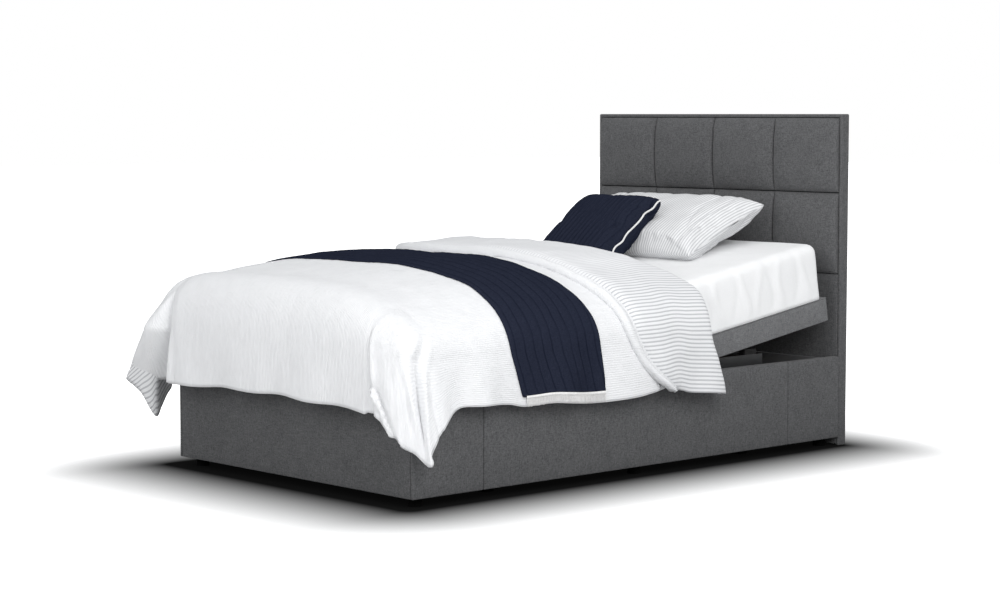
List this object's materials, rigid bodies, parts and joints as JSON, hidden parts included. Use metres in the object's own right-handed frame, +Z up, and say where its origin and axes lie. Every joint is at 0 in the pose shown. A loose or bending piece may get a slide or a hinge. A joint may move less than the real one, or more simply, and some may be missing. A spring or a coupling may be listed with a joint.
{
  "type": "adjustable bed",
  "caption": "Upholstered small double bed with motor-raised back and leg sections, padded headboard, mattress, duvet, throw, pillow and cushion.",
  "frame": {"origin": "the centre of the bed's footprint, at floor level", "axes": "+X to the right as seen from the foot, +Y from foot to head, +Z up"},
  "size_m": [1.4174, 2.147, 1.19],
  "materials": {
    "upholstery_grey": "matte",
    "board_wood": "matte",
    "frame_steel": "satin",
    "plated_steel": "satin",
    "drive_plastic": "matte",
    "foot_plastic": "matte",
    "rest_rubber": "matte",
    "backing_cloth": "matte",
    "mattress_foam": "matte",
    "sheet_white": "matte",
    "duvet_white": "matte",
    "runner_navy": "matte",
    "fringe_white": "matte",
    "pillow_stripe": "matte",
    "cushion_navy": "matte",
    "piping_white": "matte"
  },
  "bodies": {
    "base": {"side_board_left": "board_wood", "side_board_right": "board_wood", "foot_board": "board_wood", "head_rail_board": "board_wood", "side_cover_left": "upholstery_grey", "side_cover_right": "upholstery_grey", "foot_cover": "upholstery_grey", "corner_blocks": "board_wood", "surround_feet": "foot_plastic", "headboard_panel": "board_wood", "headboard_battens": "board_wood", "headboard_edge_trim": "upholstery_grey", "headboard_lower_cover": "upholstery_grey", "headboard_pads_upper": "upholstery_grey", "headboard_pads_lower": "upholstery_grey", "headboard_back_cloth": "backing_cloth", "headboard_bolts": "plated_steel", "chassis_rails": "frame_steel", "chassis_cross_members": "frame_steel", "chassis_legs": "frame_steel", "chassis_leg_caps": "foot_plastic", "chassis_brackets": "frame_steel", "frame_rest_blocks": "rest_rubber", "actuator_brackets": "frame_steel", "seat_frame": "frame_steel", "seat_board": "board_wood", "seat_cover": "upholstery_grey", "frame_hinge_pins": "plated_steel", "back_motor": "drive_plastic", "back_actuator_tube": "drive_plastic", "leg_motor": "drive_plastic", "leg_actuator_tube": "drive_plastic", "control_box": "drive_plastic", "power_supply": "drive_plastic", "mattress_lap": "mattress_foam", "duvet_upper": "duvet_white"},
    "back_section": {"back_frame": "frame_steel", "back_board": "board_wood", "back_cover": "upholstery_grey", "back_lever": "frame_steel", "mattress_back": "mattress_foam", "fitted_sheet": "sheet_white", "pillow": "pillow_stripe", "scatter_cushion": "cushion_navy", "cushion_piping": "piping_white"},
    "thigh_section": {"thigh_frame": "frame_steel", "thigh_board": "board_wood", "thigh_cover": "upholstery_grey", "thigh_lever": "frame_steel", "mattress_thigh": "mattress_foam", "knee_hinge_pins": "plated_steel", "throw_runner": "runner_navy", "runner_fringe": "fringe_white"},
    "calf_section": {"calf_frame": "frame_steel", "calf_board": "board_wood", "calf_cover": "upholstery_grey", "mattress_calf": "mattress_foam", "duvet_lower": "duvet_white"},
    "back_rod": {"back_actuator_rod": "plated_steel"},
    "leg_rod": {"leg_actuator_rod": "plated_steel"}
  },
  "joints": [
    {"name": "back_hinge", "type": "hinge", "parent": "base", "child": "back_section", "pos_m": [0, 0.1615, 0.3795], "axis": [1, 0, 0], "range_deg": [-9, 51], "deforming": ["mattress_lap", "duvet_upper"]},
    {"name": "thigh_hinge", "type": "hinge", "parent": "base", "child": "thigh_section", "pos_m": [0, -0.1185, 0.3795], "axis": [-1, 0, 0], "range_deg": [0, 30], "deforming": ["throw_runner", "runner_fringe"]},
    {"name": "calf_hinge", "type": "hinge", "parent": "thigh_section", "child": "calf_section", "pos_m": [0, -0.4385, 0.3795], "axis": [1, 0, 0], "range_deg": [0, 42], "deforming": ["duvet_lower"]},
    {"name": "back_rod_slide", "type": "slide", "parent": "base", "child": "back_rod", "axis": [0, 1, 0], "range_m": [-0.0252, 0.1424]},
    {"name": "leg_rod_slide", "type": "slide", "parent": "base", "child": "leg_rod", "axis": [0, -1, 0], "range_m": [0, 0.0778]}
  ],
  "couplings": [
    {"joint": "calf_hinge", "follows": "thigh_hinge", "ratio": 1.4},
    {"joint": "back_rod_slide", "follows": "back_hinge", "m_per_rad": 0.15985},
    {"joint": "leg_rod_slide", "follows": "thigh_hinge", "m_per_rad": 0.14829}
  ]
}
